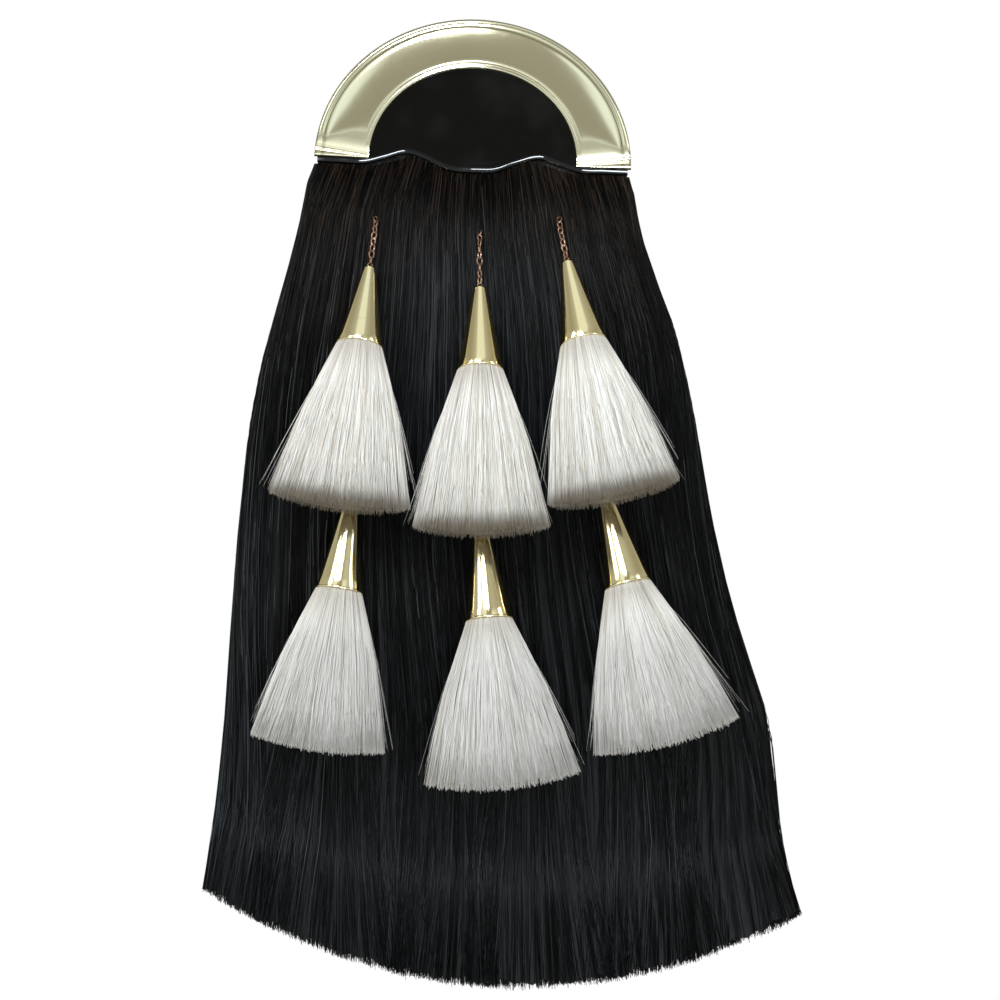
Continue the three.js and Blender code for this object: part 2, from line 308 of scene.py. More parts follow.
def add_piece(name, points, skins, finishes, node, uv=None, uses=None, crease=None):
    """A mesh from points in millimetres and closed skins, each a list of face arrays. It is turned
    outwards, placed in the frame, finished, and carried by the root body in place of its CAD node."""
    points = np.asarray(points, dtype=float).reshape(-1, 3)
    faces = [group for skin in skins for group in turned_out(skin, points)]
    corners = np.concatenate([group.ravel() for group in faces])
    counts = np.concatenate([np.full(len(group), group.shape[1]) for group in faces])
    mesh = bpy.data.meshes.new(name)
    mesh.vertices.add(len(points))
    mesh.vertices.foreach_set("co", ((points + (0, 0, FOOT_LINE)) * MM).ravel())
    mesh.loops.add(len(corners))
    mesh.loops.foreach_set("vertex_index", corners.astype(np.int32))
    mesh.polygons.add(len(counts))
    mesh.polygons.foreach_set("loop_start", (np.cumsum(counts) - counts).astype(np.int32))
    mesh.polygons.foreach_set("use_smooth", np.ones(len(counts), dtype=bool))
    for finish in finishes:
        mesh.materials.append(finish.material)
    if uses is not None:
        mesh.polygons.foreach_set("material_index", np.asarray(uses, dtype=np.int32))
    if uv is not None:
        layer = mesh.uv_layers.new(name="OFBake")
        layer.data.foreach_set("uv", np.asarray(uv)[corners].ravel())
    mesh.update(calc_edges=True)
    if crease is not None:
        mesh.set_sharp_from_angle(angle=math.radians(crease))
    piece = bpy.data.objects.new(name, mesh)
    bpy.context.scene.collection.objects.link(piece)
    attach(piece, "root")
    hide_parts(node)


def even_ring(path, count):
    """A closed line of points dealt out again at even steps of its length."""
    path = np.concatenate([path, path[:1]])
    length = np.concatenate([[0], np.cumsum(np.linalg.norm(np.diff(path, axis=0), axis=1))])
    at = np.linspace(0, length[-1], count, endpoint=False)
    return np.stack([np.interp(at, length, path[:, k]) for k in range(path.shape[1])], 1)


def board_outline(inset, count):
    """Half an ellipse above, straight sides drawn in a little, and half an ellipse below."""
    turn = np.linspace(0, np.pi, 120)
    half, side = BOARD["half"] - inset, BOARD["side"] - inset
    above = np.stack([half * np.cos(turn), (BOARD["top"] - inset) * np.sin(turn)], 1)
    below = np.stack([-side * np.cos(turn), -(BOARD["bottom"] - inset) * np.sin(turn)], 1)
    return even_ring(np.concatenate([above, below + (0, BOARD["shoulder"])]), count)


def mouth_outline(outset, count):
    """A level slot with round corners, started at the middle of its right end."""
    turn = np.linspace(0, np.pi / 2, 12)
    radius = MOUTH["corner"] + outset
    half = MOUTH["half"] - MOUTH["corner"]
    tall = (MOUTH["high"] - MOUTH["low"]) / 2 - MOUTH["corner"]
    ends = []
    for quarter, (x, z) in enumerate([(1, 1), (-1, 1), (-1, -1), (1, -1)]):
        a = turn + quarter * np.pi / 2
        ends.append(np.stack([x * half + radius * np.cos(a), z * tall + radius * np.sin(a)], 1))
    start = np.array([[half + radius, 0.0]])
    return even_ring(np.concatenate([start, *ends]) + (0, (MOUTH["high"] + MOUTH["low"]) / 2), count)


def at_depth(outline, depth):
    """An outline in x and height, put at a depth."""
    return np.stack([outline[:, 0], np.full(len(outline), float(depth)), outline[:, 1]], 1)


def close_ends(points, rings, count):
    """A closed skin from rings of points: a middle is added to the first and the last ring, with a
    fan of triangles to it, turned the way of the walls. Gives the points and the face arrays."""
    i = np.arange(count)
    skin = [grid_faces(rings, count, ring=True)]
    for first, turned in ((0, -1), ((rings - 1) * count, 1)):
        fan = np.stack([first + i, first + (i + 1) % count, np.full(count, len(points))], 1)
        skin.append(fan[:, ::turned])
        points = np.concatenate([points, points[first : first + count].mean(0)[None]])
    return points, skin


def tubes(paths, radius, sides):
    """Closed tubes along many paths at once. Each ring stands square to its path, and the radius is
    given for each point of each path. Gives the points and the face arrays."""
    along = np.gradient(paths, axis=1)
    along /= np.linalg.norm(along, axis=2, keepdims=True)
    aside = np.cross(along, (0.0, -1.0, 0.0))
    aside /= np.linalg.norm(aside, axis=2, keepdims=True)
    out = np.cross(along, aside)
    turn = np.arange(sides) * 2 * np.pi / sides
    around = aside[:, :, None] * np.cos(turn)[:, None] + out[:, :, None] * np.sin(turn)[:, None]
    points = paths[:, :, None] + around * radius[:, :, None, None]
    count, steps = paths.shape[:2]
    first = (np.arange(count) * steps * sides)[:, None, None]
    walls = (grid_faces(steps, sides, ring=True)[None] + first).reshape(-1, 4)
    ends = np.stack([np.arange(sides)[::-1], np.arange(sides) + (steps - 1) * sides])
    return points.reshape(-1, 3), [walls, (ends[None] + first).reshape(-1, sides)]


def stitches(outline, face):
    """A row of short threads that dip into the hide at both ends. The outline is closed, and lies on
    a face that looks backwards."""
    length = np.linalg.norm(np.diff(outline, axis=0, append=outline[:1]), axis=1).sum()
    count = round(length / STITCH["pitch"])
    middle = even_ring(outline, count)
    way = np.roll(middle, -1, axis=0) - np.roll(middle, 1, axis=0)
    way /= np.linalg.norm(way, axis=1, keepdims=True)
    step = np.linspace(-0.5, 0.5, 6)
    flat = middle[:, None] + way[:, None] * (step * STITCH["long"])[None, :, None]
    rise = STITCH["proud"] - 0.75 * (2 * step) ** 4
    depth = np.broadcast_to(face + rise, flat.shape[:2])
    paths = np.stack([flat[..., 0], depth, flat[..., 1]], -1)
    radius = np.broadcast_to(STITCH["radius"] * (1 - 0.5 * (2 * step) ** 6), flat.shape[:2])
    return tubes(paths, radius, 5)


def sew(points, skins, uses, outline, face):
    """A board's points, skins and finish numbers with a row of stitches added to them."""
    extra, skin = stitches(outline, face)
    skins = [*skins, [group + len(points) for group in skin]]
    uses = np.concatenate([uses, np.ones(sum(len(group) for group in skin))])
    return np.concatenate([points, extra]), skins, uses


def black_hide():
    """Semi-matt hide: fine pebbled grain, soft creases, and duller, browner rubbed patches."""
    hide = Finish("black_hide", specular_ior_level=0.28)
    here = hide.places()
    pebble = hide.add("ShaderNodeTexVoronoi", {"feature": "SMOOTH_F1"}, {"Vector": here, "Scale": 620.0})
    crease = hide.noise(here, 70.0, 4.0, 0.6)
    rub = hide.spread(hide.noise(here, 24.0, 3.0), 0.5, 0.72)
    hide.set("Base Color", hide.mix(rub, (0.0075, 0.0070, 0.0068), (0.024, 0.018, 0.014)))
    hide.set("Roughness", 0.42 + 0.16 * rub + 0.1 * crease)
    hide.bump(0.8 * pebble + 0.9 * crease, 0.0009)
    return hide


def waxed_thread():
    """Dark waxed thread, paler in fine random flecks."""
    thread = Finish("waxed_thread", roughness=0.5)
    twist = thread.noise(thread.places(), 1500.0)
    thread.set("Base Color", thread.mix(twist, (0.020, 0.018, 0.016), (0.055, 0.050, 0.044)))
    return thread


hide = black_hide()
thread = waxed_thread()


def board_edge(inner, face):
    """The rounded edge of a board from its inner face to its outer one: (inset, depth) in a row."""
    way = math.copysign(1, face - inner)
    half = [(1.1, 0.0), (0.35, 0.35), (0, 1)]
    return [(i, inner + d * way) for i, d in half] + [(i, face - d * way) for i, d in half[::-1]]


def back_board(count=200):
    """Rings from the rounded rim across the outer face to the mouth's rounded edge and back inside."""
    edge = board_edge(BACK - HIDE, BACK)
    rim = [at_depth(board_outline(inset, count), y) for inset, y in edge]
    slot = [at_depth(mouth_outline(inset, count), y) for inset, y in edge]
    rows = [rim[-1] * (1 - mix) + slot[-1] * mix for mix in np.linspace(0.06, 0.94, 12)]
    inside = [row - (0, HIDE, 0) for row in rows[::-1]]
    points = np.concatenate([*rim, *rows, *slot[::-1], *inside])
    faces = grid_faces(len(points) // count, count, ring=True, tube=True)
    piece = points, [[faces]], np.zeros(len(faces))
    for outline in board_outline(STITCH["inset"], 400), mouth_outline(STITCH["inset"] * 0.8, 300):
        piece = sew(*piece, outline, BACK)
    points, skins, uses = piece
    add_piece("pouch_back_board", points, skins, [hide, thread], "pouch_back",
              uses=uses, crease=50)


def front_board(count=160):
    """The hidden front board: two faces and a rounded rim."""
    inner = FRONT + HIDE
    edge = [(40, inner), *board_edge(inner, FRONT), (40, FRONT)]
    rings = [at_depth(board_outline(inset, count), y) for inset, y in edge]
    points, skin = close_ends(np.concatenate(rings), len(rings), count)
    add_piece("pouch_front_board", points, [skin], [hide], "pouch_front", crease=50)


def gusset(count=200):
    """The wall between the boards, swelling a little between its two seams."""
    low, high = (value.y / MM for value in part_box("pouch_gusset"))
    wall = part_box("pouch_back")[1].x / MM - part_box("pouch_gusset")[1].x / MM
    step = np.linspace(0, 1, 14)
    rings = []
    for inset, places in ((wall, step), (wall + 2, step[::-1])):
        for s in places:
            swell = 0.55 * math.sin(math.pi * s) - 0.25 * math.cos(6 * math.pi * s)
            rings.append(at_depth(board_outline(inset + 0.25 - swell, count), low + (high - low) * s))
    points = np.concatenate(rings)
    skin = [grid_faces(len(rings), count, ring=True, tube=True)]
    add_piece("pouch_gusset_wall", points, [skin], [hide], "pouch_gusset", crease=60)


back_board()
front_board()
gusset()


# ---- Strap loops ----
# Two strips of the same hide, bent off the back board so that the waist strap passes behind them,
# and sewn down at each end with a box of stitches.

LOOP = {"clear": 15, "ramp": 4, "foot": 8, "thick": 2.5}


def smooth_curve(at, places, values):
    """A cubic through the values at rising places, with the slope at each taken from both sides."""
    slopes = np.gradient(values, places)
    i = np.clip(np.searchsorted(places, at) - 1, 0, len(places) - 2)
    step = places[i + 1] - places[i]
    t = (at - places[i]) / step
    first = (1 + 2 * t) * (1 - t) ** 2 * values[i] + t * (1 - t) ** 2 * step * slopes[i]
    return first + t * t * (3 - 2 * t) * values[i + 1] + t * t * (t - 1) * step * slopes[i + 1]


def strap_loop(side):
    """A strip with rounded edges carried up a bent line: flat on the board, off it, and back."""
    node = "strap_loop_" + side
    low, high = (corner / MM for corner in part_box(node))
    wide = (high.x - low.x) / 2
    middle = ((low.x + high.x) / 2, (low.z + high.z) / 2 - FOOT_LINE)
    reach = (high.z - low.z) / 2
    z = np.linspace(-reach, reach, 61)
    rise = np.clip((LOOP["clear"] + LOOP["ramp"] + 0.5 - np.abs(z)) / (LOOP["ramp"] + 1), 0, 1)
    rise = rise * rise * (3 - 2 * rise)
    seat = low.y + LOOP["thick"] / 2
    depth = seat + rise * (high.y - LOOP["thick"] / 2 - seat)
    path = np.stack([np.full_like(z, middle[0]), depth, z + middle[1]], 1)
    along = np.gradient(path, axis=0)
    along /= np.linalg.norm(along, axis=1, keepdims=True)
    out = np.cross((1.0, 0, 0), along)
    turn = (np.arange(32) + 0.5) * 2 * np.pi / 32
    x = np.sign(np.cos(turn)) * np.abs(np.cos(turn)) ** 0.35 * wide
    y = np.sign(np.sin(turn)) * np.abs(np.sin(turn)) ** 0.6 * LOOP["thick"] / 2
    shrink = np.ones(len(z))
    shrink[[0, -1]] = 0.9
    section = x[None, :, None] * (1.0, 0, 0) + y[None, :, None] * out[:, None]
    rings = path[:, None] + section * shrink[:, None, None]
    points, skin = close_ends(rings.reshape(-1, 3), len(z), 32)
    piece = points, [skin], np.zeros(sum(len(group) for group in skin))
    for end in (-1, 1):
        box = np.array([[-1, -1], [1, -1], [1, 1], [-1, 1]]) * (wide - 2, LOOP["foot"] / 2 - 1.6)
        box = even_ring(box + (middle[0], middle[1] + end * (reach - LOOP["foot"] / 2)), 80)
        piece = sew(*piece, box, low.y + LOOP["thick"])
    points, skins, uses = piece
    add_piece("waist_strap_loop_" + side, points, skins, [hide, thread], node,
              uses=uses, crease=50)


for side in ("left", "right"):
    strap_loop(side)


# ---- Patent panel ----
# Black patent leather over a stiff backing. It fills the arch of the cantle, and its lower edge is
# turned over a cord and ends in a wave that covers the roots of the hair.

PANEL = {"back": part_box("front_panel")[1].y / MM, "face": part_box("front_panel")[0].y / MM}
TURNED_EDGE = table(
    ["in", "back"],
    [0, 2.4], [0.15, 1.6], [0.4, 1.1], [0.8, 0.78], [1.6, 0.44], [2.4, 0.15], [3.2, 0.02], [4.2, 0],
    [90, 0],
)
WAVE = table(
    ["x", "z"],
    [0, -5.2], [11, -4.5], [22, -0.2], [33, 3], [44, 0], [54, -2.8], [66, -2.8], [78, -2.8],
)


def wave(x):
    """Height of the panel's lower edge, the same on both sides."""
    return smooth_curve(np.abs(x), WAVE["x"], WAVE["z"])


def shell(front, back):
    """A closed skin from two grids of points in the same order, joined round their border. Faces
    with no area, where points meet at a corner, are left out."""
    rows, columns = front.shape[:2]
    count = rows * columns
    number = np.arange(count).reshape(rows, columns)
    rim = np.concatenate([number[0], number[1:, -1], number[-1, -2::-1], number[-2:0:-1, 0]])
    after = np.roll(rim, -1)
    face = grid_faces(rows, columns)
    wall = np.stack([after, rim, rim + count, after + count], 1)
    points = np.concatenate([front.reshape(-1, 3), back.reshape(-1, 3)])
    faces = np.concatenate([face, face[:, ::-1] + count, wall])
    corners = points[faces]
    area = np.linalg.norm(np.cross(corners[:, 2] - corners[:, 0], corners[:, 3] - corners[:, 1]), axis=1)
    return points, [faces[area > 1e-9]]


def patent_finish():
    """Lacquered black: a deep gloss coat, a slow ripple of the hide beneath, dust and fine rubs, and
    pale patches that follow the dust and the ripple, painted in as faint reflections.
    """
    patent = Finish("patent_leather", specular_ior_level=0.06, coat_roughness=0.03)
    here = patent.places()
    ripple = patent.noise(here, 38.0, 2.0)
    dust = patent.spread(patent.noise(here, 420.0, 4.0, 0.7), 0.56, 0.78)
    # Paler base colour with the dust and along the ripple: partly dust, partly painted reflection.
    dust_and_painted_reflection = dust.math("MAXIMUM", patent.spread(ripple, 0.45, 0.70))
    patent.set("Base Color", patent.mix(dust_and_painted_reflection, (0.0010, 0.0011, 0.0014), (0.0052, 0.0053, 0.0058)))
    patent.set("Roughness", 0.10 + 0.12 * dust + 0.05 * ripple)
    patent.set("Coat Weight", 0.42 - 0.2 * dust)
    patent.bump(ripple, 0.0011)
    return patent


def front_panel(columns=181, rows=56):
    """Columns of points from the wave up to the arch, with the edge rolled and the middle padded."""
    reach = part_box("front_panel")[1].x / MM
    across = np.linspace(-1, 1, columns)
    x = reach * np.sin(across * np.pi / 2) * 0.9995
    low = wave(x)
    high = (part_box("front_panel")[1].z / MM - FOOT_LINE) * np.sqrt(1 - (x / reach) ** 2)
    up = np.linspace(0, 1, rows)[:, None] ** 2.2
    z = low + (high - low) * up
    turned = np.interp(z - low, TURNED_EDGE["in"], TURNED_EDGE["back"])
    cord = -0.12 * np.exp(-((((z - low) - 4.6) / 0.9) ** 2))
    pad = 1.3 * np.clip(1 - (x / 51) ** 2 - ((z - 10) / 37) ** 2, 0, 1) ** 1.5
    buckle = 0.10 * np.sin(x / 9.0 + z / 17.0) + 0.07 * np.sin(x / 5.3 - z / 8.0 + 1.0)
    buckle = buckle * np.clip(1 - (x / 50) ** 2, 0, 1) * np.clip((z - low) / 4, 0, 1)
    face = np.stack(np.broadcast_arrays(x, PANEL["face"] + turned - cord - pad - buckle, z), -1)
    back = np.stack(np.broadcast_arrays(x, PANEL["back"], z), -1)
    points, skin = shell(face, back)
    add_piece("patent_panel", points, [skin], [patent_finish()], "front_panel",
              crease=50)


front_panel()


# ---- Cantle ----
# A half ring pressed from one sheet of pale brass and polished: a round bead along its outer edge, a
# lower one along the inner edge and the feet, mitred at the corners, and a crowned face between.

CANTLE = {"outer": (79.5, 72.0), "inner": (52.0, 47.2), "sheet": 1.4}
FACE = (26.7525, 25.42)  # width of the face at the feet and at the crown of the arch
# Colour of the shade painted along the cantle's outer edge and in its groove.
RIM_PAINTED_SHADE = (0.36, 0.34, 0.20)
CANTLE_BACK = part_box("cantle")[1].y / MM
OUTER_EDGE = table(
    ["in", "high"],
    [0, 3.0], [0.25, 4.3], [0.8, 5.3], [1.6, 5.7], [2.4, 5.65], [3.1, 5.35], [3.8, 5.2], [4.6, 5.32],
    [6.0, 5.65], [8, 6.0], [12, 6.55], [16, 7.0], [20, 7.35], [26, 7.6],
)
INNER_EDGE = table(
    ["in", "high"],
    [0, 2.8], [0.25, 4.5], [0.8, 5.6], [1.5, 5.95], [2.1, 5.8], [2.5, 5.75], [3.0, 6.5], [3.7, 7.0],
    [5, 7.25], [8, 7.5], [12, 7.6], [26, 7.65],
)
FOOT_EDGE = table(
    ["in", "high"],
    [0, 1.8], [0.25, 3.0], [0.6, 3.6], [1.1, 3.85], [2.0, 3.8], [2.6, 3.3], [3.1, 3.3], [4.5, 3.95],
    [6.5, 4.6], [9, 5.2], [13, 5.85], [20, 6.6], [28, 7.15], [40, 7.5], [80, 7.7],
)


def cantle_height(x, z):
    """The lowest of the three edge profiles, run softly together at the corners. The strip along a
    foot is three times as tall at its outer end as at its inner end."""
    heights = []
    for (wide, tall), profile, turned in (
        (CANTLE["outer"], OUTER_EDGE, -1),
        (CANTLE["inner"], INNER_EDGE, 1),
    ):
        level = np.sqrt((x / wide) ** 2 + (z / tall) ** 2)
        slope = np.sqrt(x**2 / wide**4 + z**2 / tall**4) / np.maximum(level, 1e-6)
        inside = turned * (level - 1) / slope
        heights.append(smooth_curve(np.clip(inside, 0, 25.9), profile["in"], profile["high"]))
    strip = np.interp(np.abs(x), [53, 78], [1.9, 5.2])
    up = np.where(z < strip, z * 2.9 / strip, z + 2.9 - strip)
    heights.append(smooth_curve(np.clip(up, 0, 79), FOOT_EDGE["in"], FOOT_EDGE["high"]))
    low = np.minimum(heights[0], heights[1])
    blend = np.clip(z / 5, 0.12, 1.3)
    gap = np.abs(low - heights[2])
    return np.minimum(low, heights[2]) - np.clip(blend - gap, 0, None) ** 2 / (4 * blend)


def cantle_grid(inset, columns=60, rows=270):
    """Lines from the outer arc to the inner one, square to each arc near it, so that a bead keeps to
    its own line of points: a share of the face's width in from one arc, run smoothly into the same
    share out from the other. They are close together near the feet and near both arcs."""
    part = np.linspace(0, 1, rows)
    along = part - 0.14 * np.sin(2 * np.pi * part) + 0.012 * np.sin(4 * np.pi * part)
    turn = np.pi * along[:, None]
    step = np.linspace(0, 1, columns)[None, :]
    step = step - 0.12 * np.sin(2 * np.pi * step)
    face = np.hypot(FACE[0] * np.cos(turn), FACE[1] * np.sin(turn))
    places = []
    for (wide, tall), way, share in ((CANTLE["outer"], 1, step), (CANTLE["inner"], -1, step - 1)):
        square = np.stack([tall * np.cos(turn), wide * np.sin(turn)])
        square /= np.linalg.norm(square, axis=0)
        reach = way * inset + share * (face - 2 * inset)
        places.append(np.stack([wide * np.cos(turn), tall * np.sin(turn)]) - square * reach)
    mix = np.clip((step - 0.25) / 0.5, 0, 1)
    mix = mix * mix * (3 - 2 * mix)
    x, z = places[0] * (1 - mix) + places[1] * mix
    return x, z + inset * (1 - np.clip(z / 12, 0, 1)) ** 2


def polished(name, deep, pale, tarnish, painted_shade_on=None):
    """Polished brass: warm and pale drifts, hair-fine buffing lines and a little tarnish in patches.
    The last argument, when given, gives how much painted shade darkens each place."""
    metal = Finish(name, metallic=1.0)
    here = metal.places()
    drift = metal.noise(here, 22.0, 2.0)
    buffed = metal.noise(metal.places((1, 1, 0.06)), 1600.0, 2.0)
    stain = metal.spread(metal.noise(here, 130.0, 5.0, 0.65), 0.60, 0.80)
    brass = metal.mix(stain * 0.35, metal.mix(drift, deep, pale), tarnish)
    # Where asked, the brass is mixed towards the painted shade colour.
    metal.set("Base Color", brass if painted_shade_on is None else metal.mix(painted_shade_on(metal), brass, RIM_PAINTED_SHADE))
    metal.set("Roughness", 0.10 + 0.10 * stain + 0.05 * buffed)
    metal.bump(drift, 0.0003)
    return metal


def rim_painted_shade(brass):
    """Painted shade along the outermost edge and in the groove inside the outer bead, both found as
    shares of the outer arc."""
    wide, tall = CANTLE["outer"]
    here = brass.places((1 / (wide * MM), 1, 1 / (tall * MM)))
    x = brass.part(here, 0)
    z = brass.part(here, 2) - FOOT_LINE / tall
    level = (x * x + z * z).math("SQRT")
    edge = brass.spread(level, 0.982, 0.994, 0.0, 0.85)
    groove = brass.spread(level, 0.930, 0.944) * brass.spread(level, 0.956, 0.966, 0.55, 0.0)
    return edge.math("MAXIMUM", groove)


def cantle():
    """The face and the inside of the sheet, each a grid, joined round the open back."""
    sheet = CANTLE["sheet"]
    grids = []
    for inset, drop in ((0.0, 0.0), (sheet, sheet)):
        x, z = cantle_grid(inset)
        face_x, face_z = cantle_grid(0.0)
        high = np.maximum(cantle_height(face_x, face_z) - drop, 0.4)
        grid = np.stack([x, CANTLE_BACK - high, z], -1)
        grids.append(np.pad(grid, ((1, 1), (1, 1), (0, 0)), mode="edge"))
        for edge in (grids[-1][0], grids[-1][-1], grids[-1][:, 0], grids[-1][:, -1]):
            edge[:, 1] = CANTLE_BACK
    points, skin = shell(*grids)
    colours = (0.84, 0.80, 0.57), (0.91, 0.88, 0.67), (0.56, 0.48, 0.30)
    # The cantle's rim gets painted shade.
    brass = polished("cantle_brass", *colours, rim_painted_shade)
    add_piece("brass_cantle", points, [skin], [brass], "cantle", crease=58)


cantle()


# ---- Hair skirt ----
# Long black horsehair, fixed to the front and the sides of the pouch and combed down over it. A dark
# body carries layers of separate strands, gathered in locks, that end in a blunt, ragged hem.

HAIR = table(
    ["z", "left", "right", "front", "back", "lift", "square"],
    [3.4, -76, 76, -30, -26, 0, 8],
    [-9, -82, 81.5, -33, -5, 0, 8],
    [-24, -84, 84, -38, -5, 0, 7],
    [-50, -89, 92.5, -43, -5, 0, 6],
    [-75, -95, 104, -47, -5, 0, 5],
    [-102, -101, 112, -51, -6, 1, 4],
    [-127, -105, 118, -54, -8, 2, 3.4],
    [-178, -109, 128, -59, -12, 3, 2.9],
    [-230, -111, 143, -62, -15, 5, 2.6],
    [-285, -112, 161, -61, -17, 12, 2.5],
    [-348, -115, 169, -57, -18, 23, 2.5],
    [-411, -120, 182, -51, -19, 42, 2.5],
)
LEVELS = 150
AROUND = 720
TONES = 64  # columns of the strands' colour chart
ROOT_DEPTH = PANEL["back"] - 0.3  # where the roots come out under the panel
ROOT_RUN = 34  # how far down the hair reaches its full depth
dice = np.random.default_rng(7)


def hair_rows(z):
    """Every column of the hair's form at heights z, smoothed between its rows."""
    return {key: smooth_curve(-z, -HAIR["z"], HAIR[key]) for key in HAIR if key != "z"}


def hair_form():
    """The outer form as rings, top to bottom, each dealt out evenly from the middle of the back by
    way of the left side and the front, and the level direction that points out of it."""
    z = np.linspace(HAIR["z"][0], HAIR["z"][-1], LEVELS)
    row = {key: value[:, None] for key, value in hair_rows(z).items()}
    turn = np.linspace(0.5, 2.5, 1441)[None, :] * np.pi
    across = np.sign(np.cos(turn)) * np.abs(np.cos(turn)) ** (2 / row["square"])
    deep = np.sign(np.sin(turn)) * np.abs(np.sin(turn)) ** (2 / row["square"])
    x = (row["left"] + row["right"]) / 2 + across * (row["right"] - row["left"]) / 2
    y = (row["front"] + row["back"]) / 2 + deep * (row["back"] - row["front"]) / 2
    rings = np.stack([x, y, z[:, None] + row["lift"] * across**2], -1)
    length = np.cumsum(np.hypot(np.diff(x, prepend=x[:, :1]), np.diff(y, prepend=y[:, :1])), axis=1)
    share = np.linspace(0, 1, AROUND + 1)
    even = np.stack([
        np.stack([np.interp(share, length[i] / length[i, -1], rings[i, :, k]) for k in range(3)], -1)
        for i in range(LEVELS)
    ])
    ahead = np.roll(even, -3, axis=1) - np.roll(even, 3, axis=1)
    out = np.stack([ahead[..., 1], -ahead[..., 0]], -1)
    out /= np.maximum(np.linalg.norm(out, axis=-1, keepdims=True), 1e-9)
    if out[LEVELS // 2, AROUND // 2, 1] > 0:
        out = -out
    return even, out


FORM, OUTWARD = hair_form()


def look_up(grid, around, down):
    """Values of a form's grid at shares around (0 to 1) and down (0 to 1), between its points."""
    a = (around % 1.0) * AROUND
    d = np.clip(down, 0, 1) * (LEVELS - 1)
    i, j = np.minimum(d.astype(int), LEVELS - 2), np.minimum(a.astype(int), AROUND - 1)
    u, v = (a - j)[..., None], (d - i)[..., None]
    upper = grid[i, j] * (1 - u) + grid[i, j + 1] * u
    lower = grid[i + 1, j] * (1 - u) + grid[i + 1, j + 1] * u
    return upper * (1 - v) + lower * v


def on_form(around, down, sunk):
    """Points on the hair's form, sunk into it by a depth that stays inside thin places."""
    points = look_up(FORM, around, down)
    out = look_up(OUTWARD, around, down)
    points[..., :2] -= out * sunk[..., None]
    return points


def down_at(z):
    """The share down the form at a height."""
    return (HAIR["z"][0] - z) / (HAIR["z"][0] - HAIR["z"][-1])


def part_hair(points):
    """Draws strands on the front aside from each upper chain and lets the parting sink."""
    x, y, z = points[..., 0], points[..., 1], points[..., 2]
    for place in ("left", "middle", "right"):
        low, high = (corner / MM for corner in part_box("chain_upper_" + place))
        cx = (low.x + high.x) / 2
        cz = high.z - FOOT_LINE - 8
        near = np.exp(-(((x - cx) / 3.2) ** 2)) * np.exp(-(((z - cz) / 24) ** 2)) * (y < -28)
        x += np.sign(x - cx) * 1.5 * near
        y += 1.6 * near
    return points


def read_chart(hair, stops):
    """The colour chart: the share across it, the share down a strand, one chance for each column,
    and the tone that the chance picks from a ramp."""
    chart = hair.add("ShaderNodeUVMap", {"uv_map": "OFBake"})
    across = hair.part(chart, 0)
    column = (across * TONES).math("FLOOR")
    chance = hair.add("ShaderNodeTexWhiteNoise", {"noise_dimensions": "1D"}, {"W": column})
    tone = hair.add("ShaderNodeValToRGB", {"stops": stops}, {"Fac": chance})
    return across, hair.part(chart, 1), chance, tone


def black_finish():
    """Near-black hair: each strand has one tone of blue-black or brown from the chart's columns, and
    brown shows most at the roots, where the combed layers are thin. A faint blue-grey painted sheen
    lies on the upper middle, on the lower part and along the left edge."""
    hair = Finish("black_horsehair", roughness=0.36, specular_ior_level=0.13)
    stops = [
        (0.0, (0.0010, 0.0011, 0.0014)),
        (0.55, (0.0020, 0.0022, 0.0026)),
        (0.84, (0.0062, 0.0072, 0.0085)),
        (1.0, (0.082, 0.092, 0.104)),
    ]
    _, down, chance, black = read_chart(hair, stops)
    brown = hair.spread(chance, 0.35, 0.9) * hair.spread(down, 0.30, 0.02, 0.06, 0.85)
    tinted = hair.mix(brown, black, (0.030, 0.0185, 0.0115))
    across = hair.part(hair.places(), 0)
    middle = hair.spread((across - 0.01).math("ABSOLUTE"), 0.075, 0.02)
    upper = hair.spread(down, 0.08, 0.19) * hair.spread(down, 0.50, 0.27)
    patch = hair.spread(hair.noise(hair.places(), 26.0, 2.0), 0.42, 0.62)
    lower = hair.spread(down, 0.70, 0.84) * (0.3 + 0.7 * patch)
    lower = lower * hair.spread(across, 0.12, 0.05, 0.3, 1.0)
    edge = hair.spread(across, -0.086, -0.104) * hair.spread(down, 0.35, 0.50)
    # Painted sheen: a blue-grey lightening of the base colour on the upper middle, the lower part and
    # the left edge.
    painted_sheen = (0.66 * upper * middle + 0.34 * lower + 0.5 * edge) * chance * (0.2 + 1.5 * chance)
    hair.set("Base Color", hair.mix(painted_sheen, tinted, (0.040, 0.047, 0.054)))
    return hair


def mass_finish():
    """The dark mass under the strands: painted shade of the hair's depths, blacker than the strands,
    with fine streaks down it.
    """
    mass = Finish("hair_mass", roughness=0.55, specular_ior_level=0.12)
    streaks = mass.noise(mass.places((1, 1, 0.05)), 900.0, 3.0, 0.6)
    shade = mass.spread(streaks, 0.45, 0.75)
    # The mass is coloured blacker than the strands as painted shade between them.
    mass.set("Base Color", mass.mix(shade, (0.0010, 0.0011, 0.0014), (0.0065, 0.0073, 0.0085)))
    mass.bump(streaks, 0.0004)
    return mass


def chart_places(column, down, sides):
    """Places on the colour chart for tubes: one column for each strand, its points down the column."""
    across = (column[:, None, None] + 0.25 + 0.5 * np.arange(sides) / (sides - 1)) / TONES
    places = np.broadcast_arrays(across, 0.02 + 0.96 * down[:, :, None])
    return np.stack(places, -1).reshape(-1, 2)


